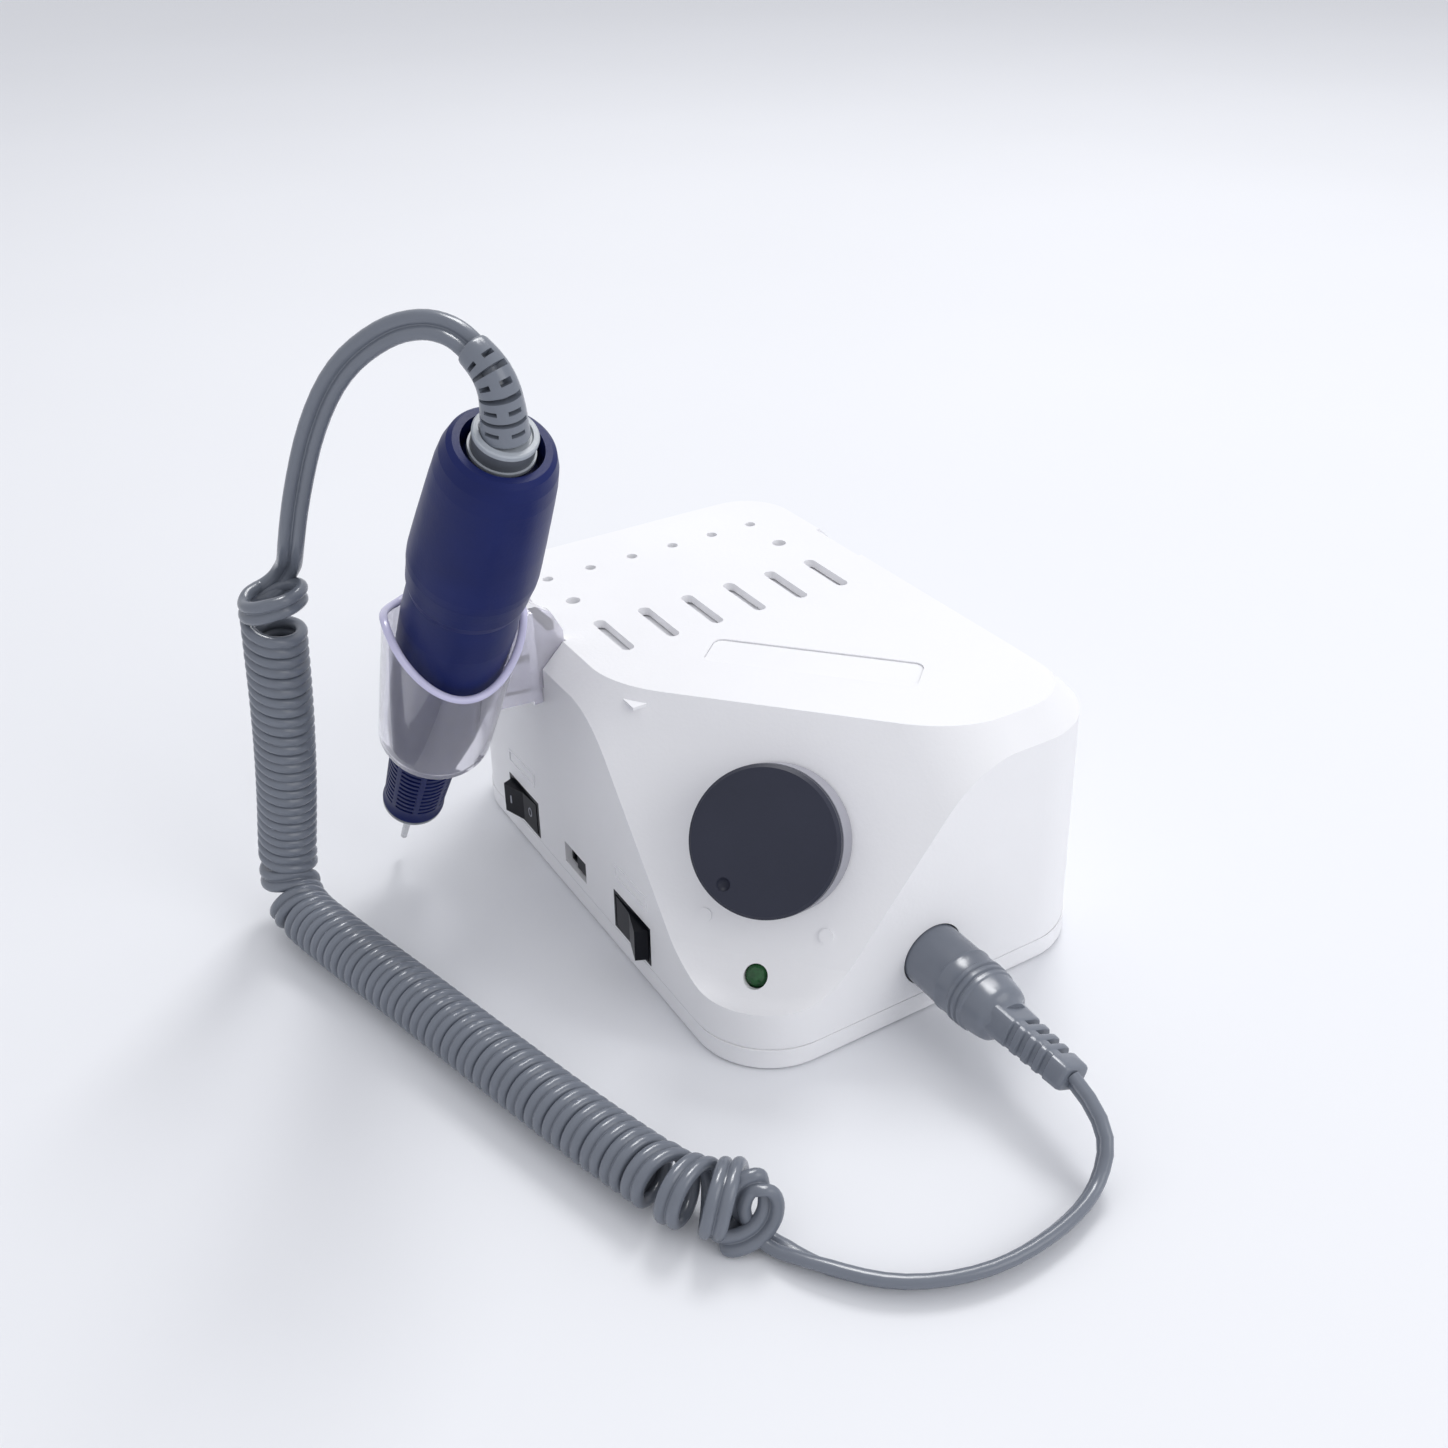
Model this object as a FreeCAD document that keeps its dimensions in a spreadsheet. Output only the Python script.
import FreeCAD, Part
import math
import os
from types import SimpleNamespace

import Sketcher

# A nail drill machine: a mains control box with a speed knob and rocker switches, a clear holder
# hooked on its side, and a motor handpiece on a coiled twin cord that plugs into the front.
# Millimetres, +Z up. The box's front is towards -Y, its switch side towards -X.
# Box pieces are drawn from the box's front left bottom corner and then moved to the origin,
# which is the middle of what the whole machine covers, on the surface that it stands on.

SIZES = {
    # control box
    "box_width": 108.0,
    "box_depth": 157.0,
    "box_height": 72.2,
    "draft_angle": 1.15,
    "corner_radius": 21.0,
    "top_bevel": 6.2,
    "wall": 2.2,
    "origin_from_left": 32.5,
    "origin_from_front": 82.0,
    # sloped control panel that cuts the front left corner
    "panel_turn": 47.7,
    "panel_tilt": 58.0,
    "panel_reach": 52.9,
    "panel_blend": 34.0,
    "panel_foot": 16.4,
    "panel_scoop": 16.5,
    # tray, feet and screws
    "seam_height": 6.4,
    "seam_gap": 0.2,
    "tray_round": 0.7,
    "foot_height": 0.4,
    "foot_radius": 6.0,
    "foot_recess": 0.7,
    "foot_from_side": 19.0,
    "foot_from_end": 28.0,
    "post_radius": 4.0,
    "post_bottom": 9.0,
    "screw_radius": 1.5,
    "screw_head_radius": 2.8,
    "screw_head": 1.8,
    "screw_length": 14.0,
    # air vents in the top
    "vent_pitch": 13.1,
    "vent_count": 6,
    "vent_first": 20.0,
    "vent_row": 131.5,
    "vent_hole_radius": 1.5,
    "port_row": 115.9,
    "port_hole_radius": 1.95,
    "vent_slot_middle": 92.7,
    "vent_slot_length": 18.5,
    "vent_slot_width": 3.4,
    # bare name plate on the top
    "plate_length": 53.6,
    "plate_width": 11.9,
    "plate_depth": 0.9,
    "plate_thickness": 0.5,
    "plate_corner": 2.6,
    "plate_along": -2.5,
    "plate_back": 23.2,
    # holder notches in both top edges
    "notch_start": 96.6,
    "notch_length": 21.0,
    "notch_reach": 8.6,
    "notch_drop": 12.0,
    # speed knob on the panel
    "knob_along": -1.5,
    "knob_down": 30.4,
    "knob_radius": 17.9,
    "knob_height": 14.0,
    "knob_gap": 0.5,
    "knob_cap_height": 3.4,
    "knob_wall": 1.6,
    "dimple_radius": 1.7,
    "dimple_from_axis": 13.4,
    "shaft_radius": 3.0,
    "shaft_length": 11.0,
    "bushing_radius": 3.9,
    "bushing_length": 5.4,
    "pot_radius": 6.0,
    "pot_depth": 9.0,
    "mark_radius": 1.75,
    "mark_height": 0.5,
    "mark_from_axis": 25.2,
    "mark_swing": 35.7,
    # pilot lamp
    "lamp_along": -1.9,
    "lamp_down": 62.8,
    "lamp_radius": 2.7,
    "lamp_clearance": 0.2,
    "lamp_flange": 1.0,
    "lamp_rise": 1.1,
    # switches on the left side
    "switch_height": 13.1,
    "switch_middle": 84.4,
    "switch_spacing": 32.0,
    "rocker_length": 16.6,
    "rocker_width": 9.2,
    "rocker_throw": 11.0,
    "rocker_crown": 1.7,
    "rocker_waist": 0.7,
    "rocker_pivot": 1.6,
    "rocker_depth": 4.2,
    "rocker_pin_radius": 0.7,
    "rocker_clearance": 0.35,
    "switch_wall": 0.85,
    "switch_body_depth": 13.0,
    "window_length": 12.4,
    "window_height": 6.4,
    "window_depth": 2.0,
    "window_sleeve": 5.0,
    "window_wall": 1.2,
    "slider_length": 5.0,
    "slider_width": 4.2,
    "slider_stroke": 4.5,
    # handpiece socket and plug on the front
    "jack_height": 17.0,
    "jack_hole_radius": 8.5,
    "jack_pad": 4.4,
    "jack_radius": 10.0,
    "jack_socket": 6.0,
    "jack_depth": 15.0,
    "plug_radius": 8.2,
    "plug_length": 31.0,
    "plug_boot_length": 17.0,
    "pin_radius": 0.8,
    "pin_length": 6.0,
    "pin_circle": 4.4,
    # mains side on the back
    "back_row": 22.0,
    "inlet_from_left": 38.5,
    "inlet_length": 20.0,
    "inlet_height": 15.0,
    "inlet_flange": 1.8,
    "inlet_depth": 11.0,
    "fuse_from_left": 65.4,
    "fuse_radius": 6.2,
    "fuse_length": 20.0,
    "pedal_from_left": 81.4,
    "pedal_radius": 5.6,
    "pedal_depth": 14.0,
    # transformer and board inside
    "core_from_left": 60.0,
    "core_from_back": 46.0,
    "core_length": 54.0,
    "core_width": 22.0,
    "core_height": 45.0,
    "coil_wrap": 6.0,
    "board_left": 24.0,
    "board_front": 24.0,
    "board_length": 50.0,
    "board_width": 53.0,
    "board_thickness": 1.6,
    "boss_height": 6.0,
    "boss_radius": 2.6,
    "capacitor_radius": 7.5,
    "capacitor_height": 26.0,
    "sink_length": 34.0,
    "sink_height": 26.0,
    # clear handpiece holder
    "holder_x": -27.0,
    "holder_y": 89.5,
    "holder_z": 75.9,
    "lean": 30.3,
    "cup_up": 28.0,
    "cup_down": 26.0,
    "cup_top_radius": 16.0,
    "cup_bottom_radius": 14.15,
    "cup_wall": 1.15,
    "cup_floor_radius": 12.3,
    "cup_floor": 2.0,
    "rim_middle": 19.75,
    "rim_slope": 21.1,
    "rim_side_slope": 14.84,
    "hook_wall": 2.6,
    "hook_gap": 0.5,
    # handpiece: distances run from its rear rim to its nose
    "tool_x": -22.4,
    "tool_y": 48.3,
    "tool_z": 146.6,
    "tool_side_lean": 3.7,
    "tool_fit": 0.3,
    "rim_radius": 10.35,
    "rim_hole": 8.45,
    "grip_radius": 14.3,
    "seam_at": 37.4,
    "collar_end": 43.5,
    "sleeve_radius": 12.95,
    "nose_start": 112.0,
    "nose_top_radius": 9.0,
    "nose_end_radius": 7.6,
    "nose_end": 140.6,
    "nose_ring_radius": 8.05,
    "nose_ring": 1.5,
    "mandrel_tip": 163.0,
    "mandrel_radius": 1.175,
    "motor_radius": 10.6,
    "motor_start": 12.0,
    "motor_end": 58.0,
    "motor_wall": 1.2,
    "armature_radius": 7.2,
    "motor_shaft_radius": 1.2,
    "spindle_radius": 3.6,
    "spindle_start": 68.0,
    "spindle_end": 136.0,
    "quill_radius": 6.1,
    "bearing_width": 3.4,
    "cap_radius": 6.8,
    "cap_rise": 3.5,
    # cord: a flat twin lead, modelled as the round tube that holds it
    "cord_radius": 2.6,
    "coil_radius": 7.5,
    "boot_base_radius": 4.8,
}


class Dim:
    """A length or angle that knows its number and the formula that ties it to the sheet's cells."""

    def __init__(self, number, formula):
        self.number = number
        self.formula = formula

    def __add__(self, other):
        return joined(self, "+", other)

    def __radd__(self, other):
        return joined(other, "+", self)

    def __sub__(self, other):
        return joined(self, "-", other)

    def __rsub__(self, other):
        return joined(other, "-", self)

    def __mul__(self, other):
        return joined(self, "*", other)

    def __rmul__(self, other):
        return joined(other, "*", self)

    def __truediv__(self, other):
        return joined(self, "/", other)

    def __neg__(self):
        return joined(0, "-", self)


def dim(thing):
    """Whatever is given, as a Dim."""
    return thing if isinstance(thing, Dim) else Dim(float(thing), f"({float(thing):.9f})")


def joined(first, sign, second):
    """Two sizes put together by one sign, as a number and as a formula."""
    a, b = dim(first), dim(second)
    number = {
        "+": a.number + b.number,
        "-": a.number - b.number,
        "*": a.number * b.number,
        "/": a.number / b.number if b.number else 0.0,
    }[sign]
    return Dim(number, f"({a.formula} {sign} {b.formula})")


def sine(angle):
    return Dim(math.sin(math.radians(dim(angle).number)), f"sin({dim(angle).formula})")


def cosine(angle):
    return Dim(math.cos(math.radians(dim(angle).number)), f"cos({dim(angle).formula})")


def tangent(angle):
    return sine(angle) / cosine(angle)


doc = FreeCAD.newDocument("nail_drill_machine")
sheet = doc.addObject("Spreadsheet::Sheet", "sizes")
for row, (alias, number) in enumerate(SIZES.items(), start=1):
    sheet.set(f"A{row}", alias)
    sheet.set(f"B{row}", str(number))
    sheet.setAlias(f"B{row}", alias)
doc.recompute()
size = SimpleNamespace(**{alias: Dim(float(number), f"sizes.{alias}") for alias, number in SIZES.items()})

NODES = []
XY, XZ, YZ = "XY_Plane", "XZ_Plane", "YZ_Plane"
FAR = 400.0


def tie(thing, **values):
    """Bind properties of an object to formulas of the sheet's cells."""
    for name, value in values.items():
        thing.setExpression(name, dim(value).formula)
    return thing


def place(thing, at, turn=(0, 0, 0)):
    """Bind an object's Placement: where its own origin goes, and its yaw, pitch and roll."""
    x, y, z = (dim(part).formula for part in at)
    yaw, pitch, roll = (dim(part).formula for part in turn)
    thing.setExpression("Placement", f"placement(vector({x}; {y}; {z}); rotation({yaw}; {pitch}; {roll}))")
    return thing


def spot(name, box_point, turn=(0, 0, 0)):
    """Place a finished node that is drawn from the box's corner, and keep it."""
    x, y, z = box_point
    thing = doc.getObject(name) if isinstance(name, str) else name
    place(thing, (x - size.origin_from_left, y - size.origin_from_front, z), turn)
    NODES.append(thing)
    return thing


def block(name, length, width, height, at=(0, 0, 0), turn=(0, 0, 0)):
    box = tie(doc.addObject("Part::Box", name), Length=length, Width=width, Height=height)
    return place(box, at, turn)


def rod(name, radius, height, at=(0, 0, 0), turn=(0, 0, 0)):
    cylinder = tie(doc.addObject("Part::Cylinder", name), Radius=radius, Height=height)
    return place(cylinder, at, turn)


def cone(name, low_radius, high_radius, height, at=(0, 0, 0), turn=(0, 0, 0)):
    shape = tie(doc.addObject("Part::Cone", name), Radius1=low_radius, Radius2=high_radius, Height=height)
    return place(shape, at, turn)


def union(name, parts):
    if len(parts) == 1:
        return parts[0]
    fused = doc.addObject("Part::MultiFuse", name)
    fused.Shapes = parts
    return fused


def cut(name, base, tools):
    difference = doc.addObject("Part::Cut", name)
    difference.Base = base
    difference.Tool = union(f"{name}_tools", tools)
    return difference


def common(name, parts):
    shared = doc.addObject("Part::MultiCommon", name)
    shared.Shapes = parts
    return shared


def group(name, parts):
    """Like pieces that share one node and stay separate solids."""
    compound = doc.addObject("Part::Compound", name)
    compound.Links = parts
    return compound


def sketch_on(body, name, plane, points):
    """A closed outline of straight lines, each corner bound to its two coordinates."""
    sketch = body.newObject("Sketcher::SketchObject", name)
    face = [feature for feature in body.Origin.OriginFeatures if feature.Role == plane][0]
    sketch.AttachmentSupport = (face, "")
    sketch.MapMode = "FlatFace"
    corners = [(dim(x), dim(y)) for x, y in points]
    ends = [FreeCAD.Vector(x.number, y.number, 0) for x, y in corners]
    count = len(ends)
    for index in range(count):
        sketch.addGeometry(Part.LineSegment(ends[index], ends[(index + 1) % count]), False)
    for index in range(count):
        sketch.addConstraint(Sketcher.Constraint("Coincident", index, 2, (index + 1) % count, 1))
    for index, corner in enumerate(corners):
        for kind, axis, value in zip(("DistanceX", "DistanceY"), (-2, -1), corner):
            if value.number == 0:
                sketch.addConstraint(Sketcher.Constraint("PointOnObject", index, 1, axis))
                continue
            bound = sketch.addConstraint(Sketcher.Constraint(kind, index, 1, value.number))
            sketch.setExpression(f"Constraints[{bound}]", value.formula)
    return sketch


def turned(name, profile):
    """A body of revolution about Z. The profile is a closed list of radius and height."""
    body = doc.addObject("PartDesign::Body", name)
    sketch = sketch_on(body, f"{name}_profile", XZ, profile)
    solid = body.newObject("PartDesign::Revolution", f"{name}_turn")
    solid.Profile = sketch
    solid.ReferenceAxis = (sketch, ["V_Axis"])
    solid.Angle = 360
    body.Tip = solid
    return body


def padded(name, plane, outline, length, both_ways=False):
    """A straight extrusion of an outline, along the plane's normal."""
    body = doc.addObject("PartDesign::Body", name)
    sketch = sketch_on(body, f"{name}_outline", plane, outline)
    solid = body.newObject("PartDesign::Pad", f"{name}_pad")
    solid.Profile = sketch
    solid.Midplane = both_ways
    tie(solid, Length=length)
    body.Tip = solid
    return body


def rectangle(low_x, low_y, high_x, high_y):
    return [(low_x, low_y), (high_x, low_y), (high_x, high_y), (low_x, high_y)]


def edges_where(shape, wanted):
    """Names of the edges of a shape that a test picks."""
    return [f"Edge{number}" for number, edge in enumerate(shape.Edges, start=1) if wanted(edge)]


def middle(edge):
    return edge.valueAt((edge.FirstParameter + edge.LastParameter) / 2)


def upright(edge):
    """True for a corner edge that runs mostly up."""
    run = edge.Vertexes[-1].Point - edge.Vertexes[0].Point
    return abs(run.z) > 0.8 * run.Length and run.Length > 0.1


def rounded(body, name, kind, wanted, amount):
    """Fillet or chamfer the picked edges of a body's last feature."""
    doc.recompute()
    last = body.Tip
    feature = body.newObject(kind, name)
    feature.Base = (last, edges_where(last.Shape, wanted))
    if kind == "PartDesign::Fillet":
        tie(feature, Radius=amount)
    else:
        tie(feature, Size=amount)
    body.Tip = feature
    return body


# The sloped panel's own directions: along it, up it, and out of it
def panel_point(along, up, out):
    """A point given along, up and out of the panel, from the middle of its top crease."""
    turn, tilt = size.panel_turn, size.panel_tilt
    ax, ay = cosine(turn), -sine(turn)
    ux, uy, uz = cosine(tilt) * sine(turn), cosine(tilt) * cosine(turn), sine(tilt)
    nx, ny, nz = -sine(tilt) * sine(turn), -sine(tilt) * cosine(turn), cosine(tilt)
    x = size.panel_reach * sine(turn) + ax * along + ux * up + nx * out
    y = size.panel_reach * cosine(turn) + ay * along + uy * up + ny * out
    z = size.box_height + uz * up + nz * out
    return x, y, z


PANEL_TURN = (-size.panel_turn, 0, size.panel_tilt)
BLEND_LIFT = 0.1


def shell_form(name, inset, low, high):
    """The box's rounded, drafted and bevelled outer form, or the same form a wall further in."""
    lean = tangent(size.draft_angle)
    side = low * lean + inset
    body = doc.addObject("PartDesign::Body", f"{name}_box")
    outline = rectangle(side, side, size.box_width - side, size.box_depth - side)
    sketch = sketch_on(body, f"{name}_outline", XY, outline)
    pad = body.newObject("PartDesign::Pad", f"{name}_pad")
    pad.Profile = sketch
    tie(pad, Length=high - low, TaperAngle=-size.draft_angle)
    body.Tip = pad
    rounded(body, f"{name}_corners", "PartDesign::Fillet", upright, size.corner_radius - inset)
    top = (high - low).number

    def top_rim(edge):
        return all(abs(vertex.Point.z - top) < 1e-4 for vertex in edge.Vertexes)

    bevel = size.top_bevel - inset * (2 - math.sqrt(2))
    rounded(body, f"{name}_bevel", "PartDesign::Chamfer", top_rim, bevel)
    place(body, (0, 0, low))
    return common(name, [body, panel_form(f"{name}_panel", inset, high, bevel)])


HOLLOW_SLIP = 0.08


def panel_foot(name, inset):
    """The corner kept below the panel: level on top, and run up into the panel in one long hollow."""
    tilt = size.panel_tilt
    level = size.panel_foot - inset
    hollow = size.panel_scoop + inset
    top = level + hollow * (1 - cosine(tilt)) + 1
    start = inset / sine(tilt) + HOLLOW_SLIP
    low_slope = start - (size.box_height - level) / tangent(tilt)
    high_slope = start - (size.box_height - top) / tangent(tilt)
    behind = high_slope + 10
    under = -FAR / 4
    outline = [
        (low_slope, level), (high_slope, top), (behind, top), (behind, under), (-FAR, under), (-FAR, level)
    ]
    body = padded(f"{name}_foot", YZ, outline, dim(2 * FAR), both_ways=True)

    def meeting(edge):
        spots = [vertex.Point for vertex in edge.Vertexes]
        return all(abs(p.y - low_slope.number) + abs(p.z - level.number) < 1e-4 for p in spots)

    rounded(body, f"{name}_hollow", "PartDesign::Fillet", meeting, hollow)
    crease = (size.panel_reach * sine(size.panel_turn), size.panel_reach * cosine(size.panel_turn), 0)
    return place(body, crease, (-size.panel_turn, 0, 0))


def panel_form(name, inset, high, bevel):
    """A large block cut by the panel and by the two bevels beside it, with the long soft blends between."""
    stock = block(f"{name}_stock", FAR, FAR, high + 105, (-FAR / 4, -FAR / 4, -FAR / 4))
    half = FAR
    slope = 45 - size.draft_angle / 2
    edge = high * tangent(size.draft_angle) + inset + bevel
    x, y, z = panel_point(-half, -half, -inset)
    panel = block(f"{name}_panel", 2 * FAR, 2 * FAR, FAR, (x, y, z), PANEL_TURN)
    left_x = edge - half * cosine(slope) - BLEND_LIFT
    left_z = high - half * sine(slope)
    left = block(f"{name}_left", 2 * FAR, 2 * FAR, FAR, (left_x, -half, left_z), (0, -slope, 0))
    front = block(f"{name}_front", 2 * FAR, 2 * FAR, FAR, (-half, left_x, left_z), (0, 0, slope))
    plain = cut(f"{name}_plain", stock, [panel, left, front])
    doc.recompute()
    normal = FreeCAD.Rotation(*[dim(angle).number for angle in PANEL_TURN]).multVec(FreeCAD.Vector(0, 0, 1))

    def blended(edge):
        run = (edge.Vertexes[-1].Point - edge.Vertexes[0].Point).normalize()
        return min(abs(run.x), abs(run.y), abs(run.z)) > 0.05 and abs(run.dot(normal)) < 1e-6

    soft = doc.addObject("Part::Fillet", f"{name}_soft")
    soft.Base = plain
    radius = (size.panel_blend - inset).number
    picked = edges_where(plain.Shape, blended)
    soft.Edges = [(int(edge_name[4:]), radius, radius) for edge_name in picked]
    return union(name, [soft, panel_foot(name, inset)])


LEAN = tangent(size.draft_angle)
LEFT_TURN = (0, size.draft_angle - 90, 0)
BACK_TURN = (0, 0, size.draft_angle - 90)
FRONT_TURN = (0, 0, 90)


def left_point(up, back, out):
    """A point on the drafted left wall: up along it, back from the front, and out of it."""
    leaning = size.draft_angle
    return up * sine(leaning) - out * cosine(leaning), back, up * cosine(leaning) + out * sine(leaning)


def back_point(across, up, out):
    """A point on the drafted back wall: across from the left, up along it, and out of it."""
    leaning = size.draft_angle
    y = size.box_depth - up * sine(leaning) + out * cosine(leaning)
    return across, y, up * cosine(leaning) + out * sine(leaning)


def corners(from_side, from_end):
    """The four points that far in from the box's sides and ends."""
    return [
        (x, y)
        for x in (from_side, size.box_width - from_side)
        for y in (from_end, size.box_depth - from_end)
    ]


# Levels above the table
TRAY_FLOOR = size.foot_height + size.wall
TRAY_TOP = size.seam_height - size.seam_gap
FOOT_TOP = size.foot_height + size.foot_recess
HEAD_TOP = FOOT_TOP + size.screw_head + 0.1
FEET = corners(size.foot_from_side, size.foot_from_end)

# Upper housing: one white moulding with a drafted wall all round. Posts hang from it over the
# feet, a pad stiffens it round the handpiece socket, and lined notches take the holder's hook.
outer = shell_form("outer", dim(0), size.seam_height, size.box_height)
inner = shell_form("inner", size.wall, size.seam_height - 1, size.box_height - size.wall)
shell = cut("shell", outer, [inner])
stiffening = []
for number, (x, y) in enumerate(FEET):
    length = size.box_height - size.post_bottom
    stiffening.append(rod(f"post_{number}", size.post_radius, length, (x, y, size.post_bottom)))
jack_back = (size.box_width / 2, size.jack_pad, size.jack_height)
stiffening.append(rod("jack_pad", size.jack_radius + 1.2, size.jack_pad + 4, jack_back, FRONT_TURN))
notches = []
for side, corner in (("left", -5), ("right", size.box_width - size.notch_reach)):
    reach = size.notch_reach + 5
    low = size.box_height - size.notch_drop
    notches.append(block(f"{side}_notch", reach, size.notch_length, 30, (corner, size.notch_start, low)))
    lining = (
        corner - (size.wall if side == "right" else 0),
        size.notch_start - size.wall,
        low - size.wall,
    )
    length = size.notch_length + 2 * size.wall
    stiffening.append(block(f"{side}_lining", reach + size.wall, length, 30, lining))
sleeve_corner = left_point(
    size.switch_height - size.window_height / 2 - size.window_wall,
    size.switch_middle - size.window_length / 2 - size.window_wall,
    -size.window_sleeve,
)
stiffening.append(
    block(
        "window_sleeve",
        size.window_height + 2 * size.window_wall,
        size.window_length + 2 * size.window_wall,
        size.window_sleeve,
        sleeve_corner,
        LEFT_TURN,
    )
)
inside_walls = common("inside_walls", [outer, union("stiffening", stiffening)])

# Raised dots at both ends of the knob's turn, and bare raised frames over the two rockers
raised = []
for side in (-1, 1):
    along = size.knob_along + size.mark_from_axis * sine(size.mark_swing) * side
    up = -size.knob_down - size.mark_from_axis * cosine(size.mark_swing)
    base = panel_point(along, up, -1)
    raised.append(rod(f"mark_{side + 1}", size.mark_radius, size.mark_height + 1, base, PANEL_TURN))
for side in (-1, 1):
    middle_y = size.switch_middle + size.switch_spacing * side
    high = size.switch_height + 10.4
    low_corner = left_point(high, middle_y - size.rocker_length / 2, -1)
    frame = block(f"frame_{side + 1}", 4.2, size.rocker_length, 1.3, low_corner, LEFT_TURN)
    inset_corner = left_point(high + 0.6, middle_y - size.rocker_length / 2 + 0.6, -1)
    hollow = block(f"hollow_{side + 1}", 3.0, size.rocker_length - 1.2, 3, inset_corner, LEFT_TURN)
    raised.append(cut(f"raised_frame_{side + 1}", frame, [hollow]))

openings = list(notches)
roof = size.box_height - 8
for number in range(int(SIZES["vent_count"])):
    x = size.vent_first + size.vent_pitch * number
    openings.append(rod(f"vent_hole_{number}", size.vent_hole_radius, 20, (x, size.vent_row, roof)))
    slot_half = (size.vent_slot_length - size.vent_slot_width) / 2
    slot_corner = (x - size.vent_slot_width / 2, size.vent_slot_middle - slot_half, roof)
    openings.append(block(f"vent_slot_{number}", size.vent_slot_width, slot_half * 2, 20, slot_corner))
    for end in (-1, 1):
        middle_y = size.vent_slot_middle + slot_half * end
        round_end = f"vent_end_{number}_{end + 1}"
        openings.append(rod(round_end, size.vent_slot_width / 2, 20, (x, middle_y, roof)))
for number in (0, int(SIZES["vent_count"]) - 1):
    x = size.vent_first + size.vent_pitch * number
    openings.append(rod(f"port_{number}", size.port_hole_radius, 20, (x, size.port_row, roof)))

# Recess and bare plate on the top, square to the crease of the panel
plate_x = (size.panel_reach + size.plate_back) * sine(size.panel_turn)
plate_x = plate_x + size.plate_along * cosine(size.panel_turn)
plate_y = (size.panel_reach + size.plate_back) * cosine(size.panel_turn)
plate_y = plate_y - size.plate_along * sine(size.panel_turn)


def plate_form(name, shrink, height):
    """A flat slab with rounded corners, about its own middle."""
    half_length = size.plate_length / 2 - shrink
    half_width = size.plate_width / 2 - shrink
    outline = rectangle(-half_length, -half_width, half_length, half_width)
    body = padded(name, XY, outline, height)
    return rounded(body, f"{name}_corners", "PartDesign::Fillet", upright, size.plate_corner - shrink)


recess = plate_form("plate_recess", dim(0), dim(5))
place(recess, (plate_x, plate_y, size.box_height - size.plate_depth), (-size.panel_turn, 0, 0))
openings.append(recess)

for name, along, down, radius in (
    ("bushing", size.knob_along, size.knob_down, size.bushing_radius + 0.1),
    ("lamp", size.lamp_along, size.lamp_down, size.lamp_radius + size.lamp_clearance),
):
    base = panel_point(along, -down, -10)
    openings.append(rod(f"{name}_hole", radius, 20, base, PANEL_TURN))

ROCKER_OPENING = 2 * (size.rocker_clearance + size.switch_wall)
SWITCH_LENGTH = size.rocker_length + ROCKER_OPENING
SWITCH_WIDTH = size.rocker_width + ROCKER_OPENING
for name, offset, length, height in (
    ("direction", -size.switch_spacing, SWITCH_LENGTH, SWITCH_WIDTH),
    ("selector", dim(0), size.window_length, size.window_height),
    ("power", size.switch_spacing, SWITCH_LENGTH, SWITCH_WIDTH),
):
    start = size.switch_middle + offset - length / 2 - 0.05
    low_corner = left_point(size.switch_height - height / 2 - 0.05, start, -6)
    openings.append(block(f"{name}_opening", height + 0.1, length + 0.1, 12, low_corner, LEFT_TURN))

jack_front = (size.box_width / 2, 20, size.jack_height)
openings.append(rod("jack_opening", size.jack_hole_radius, 40, jack_front, FRONT_TURN))
inlet_corner = back_point(
    size.inlet_from_left - size.inlet_length / 2 - 0.1,
    size.back_row + size.inlet_height / 2 + 0.1,
    -6,
)
openings.append(
    block("inlet_opening", size.inlet_length + 0.2, size.inlet_height + 0.2, 12, inlet_corner, BACK_TURN)
)
for name, across, radius in (
    ("fuse", size.fuse_from_left, size.fuse_radius + 0.1),
    ("pedal", size.pedal_from_left, size.pedal_radius + 0.1),
):
    base = back_point(across, size.back_row, -6)
    openings.append(rod(f"{name}_opening", radius, 12, base, BACK_TURN))
INLET_EAR = size.inlet_length / 2 + 4
for side in (-1, 1):
    base = back_point(size.inlet_from_left + INLET_EAR * side, size.back_row, -6)
    openings.append(rod(f"ear_hole_{side + 1}", size.screw_radius + 0.05, 12, base, BACK_TURN))
for number, (x, y) in enumerate(FEET):
    pilot = size.screw_length + 1
    openings.append(rod(f"pilot_{number}", size.screw_radius + 0.05, pilot, (x, y, size.post_bottom - 5)))
housing = cut("top_housing", union("housing_solid", [shell, inside_walls] + raised), openings)
spot(housing, (0, 0, 0))
plate = plate_form("name_plate", dim(0.15), size.plate_thickness)
spot(plate, (plate_x, plate_y, size.box_height - size.plate_depth), (-size.panel_turn, 0, 0))

# Bottom tray: a shallow white dish. Bosses meet the housing's posts, four more carry the board,
# and each foot is glued into a recess that hides a screw.
tray_inset = TRAY_TOP * LEAN
tray_body = doc.addObject("PartDesign::Body", "tray_body")
outline = rectangle(tray_inset, tray_inset, size.box_width - tray_inset, size.box_depth - tray_inset)
tray_sketch = sketch_on(tray_body, "tray_outline", XY, outline)
tray_pad = tray_body.newObject("PartDesign::Pad", "tray_pad")
tray_pad.Profile = tray_sketch
tie(tray_pad, Length=TRAY_TOP - size.foot_height)
tray_body.Tip = tray_pad
rounded(tray_body, "tray_corners", "PartDesign::Fillet", upright, size.corner_radius - 1)


def bottom_rim(edge):
    return all(abs(vertex.Point.z) < 1e-4 for vertex in edge.Vertexes)


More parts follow.
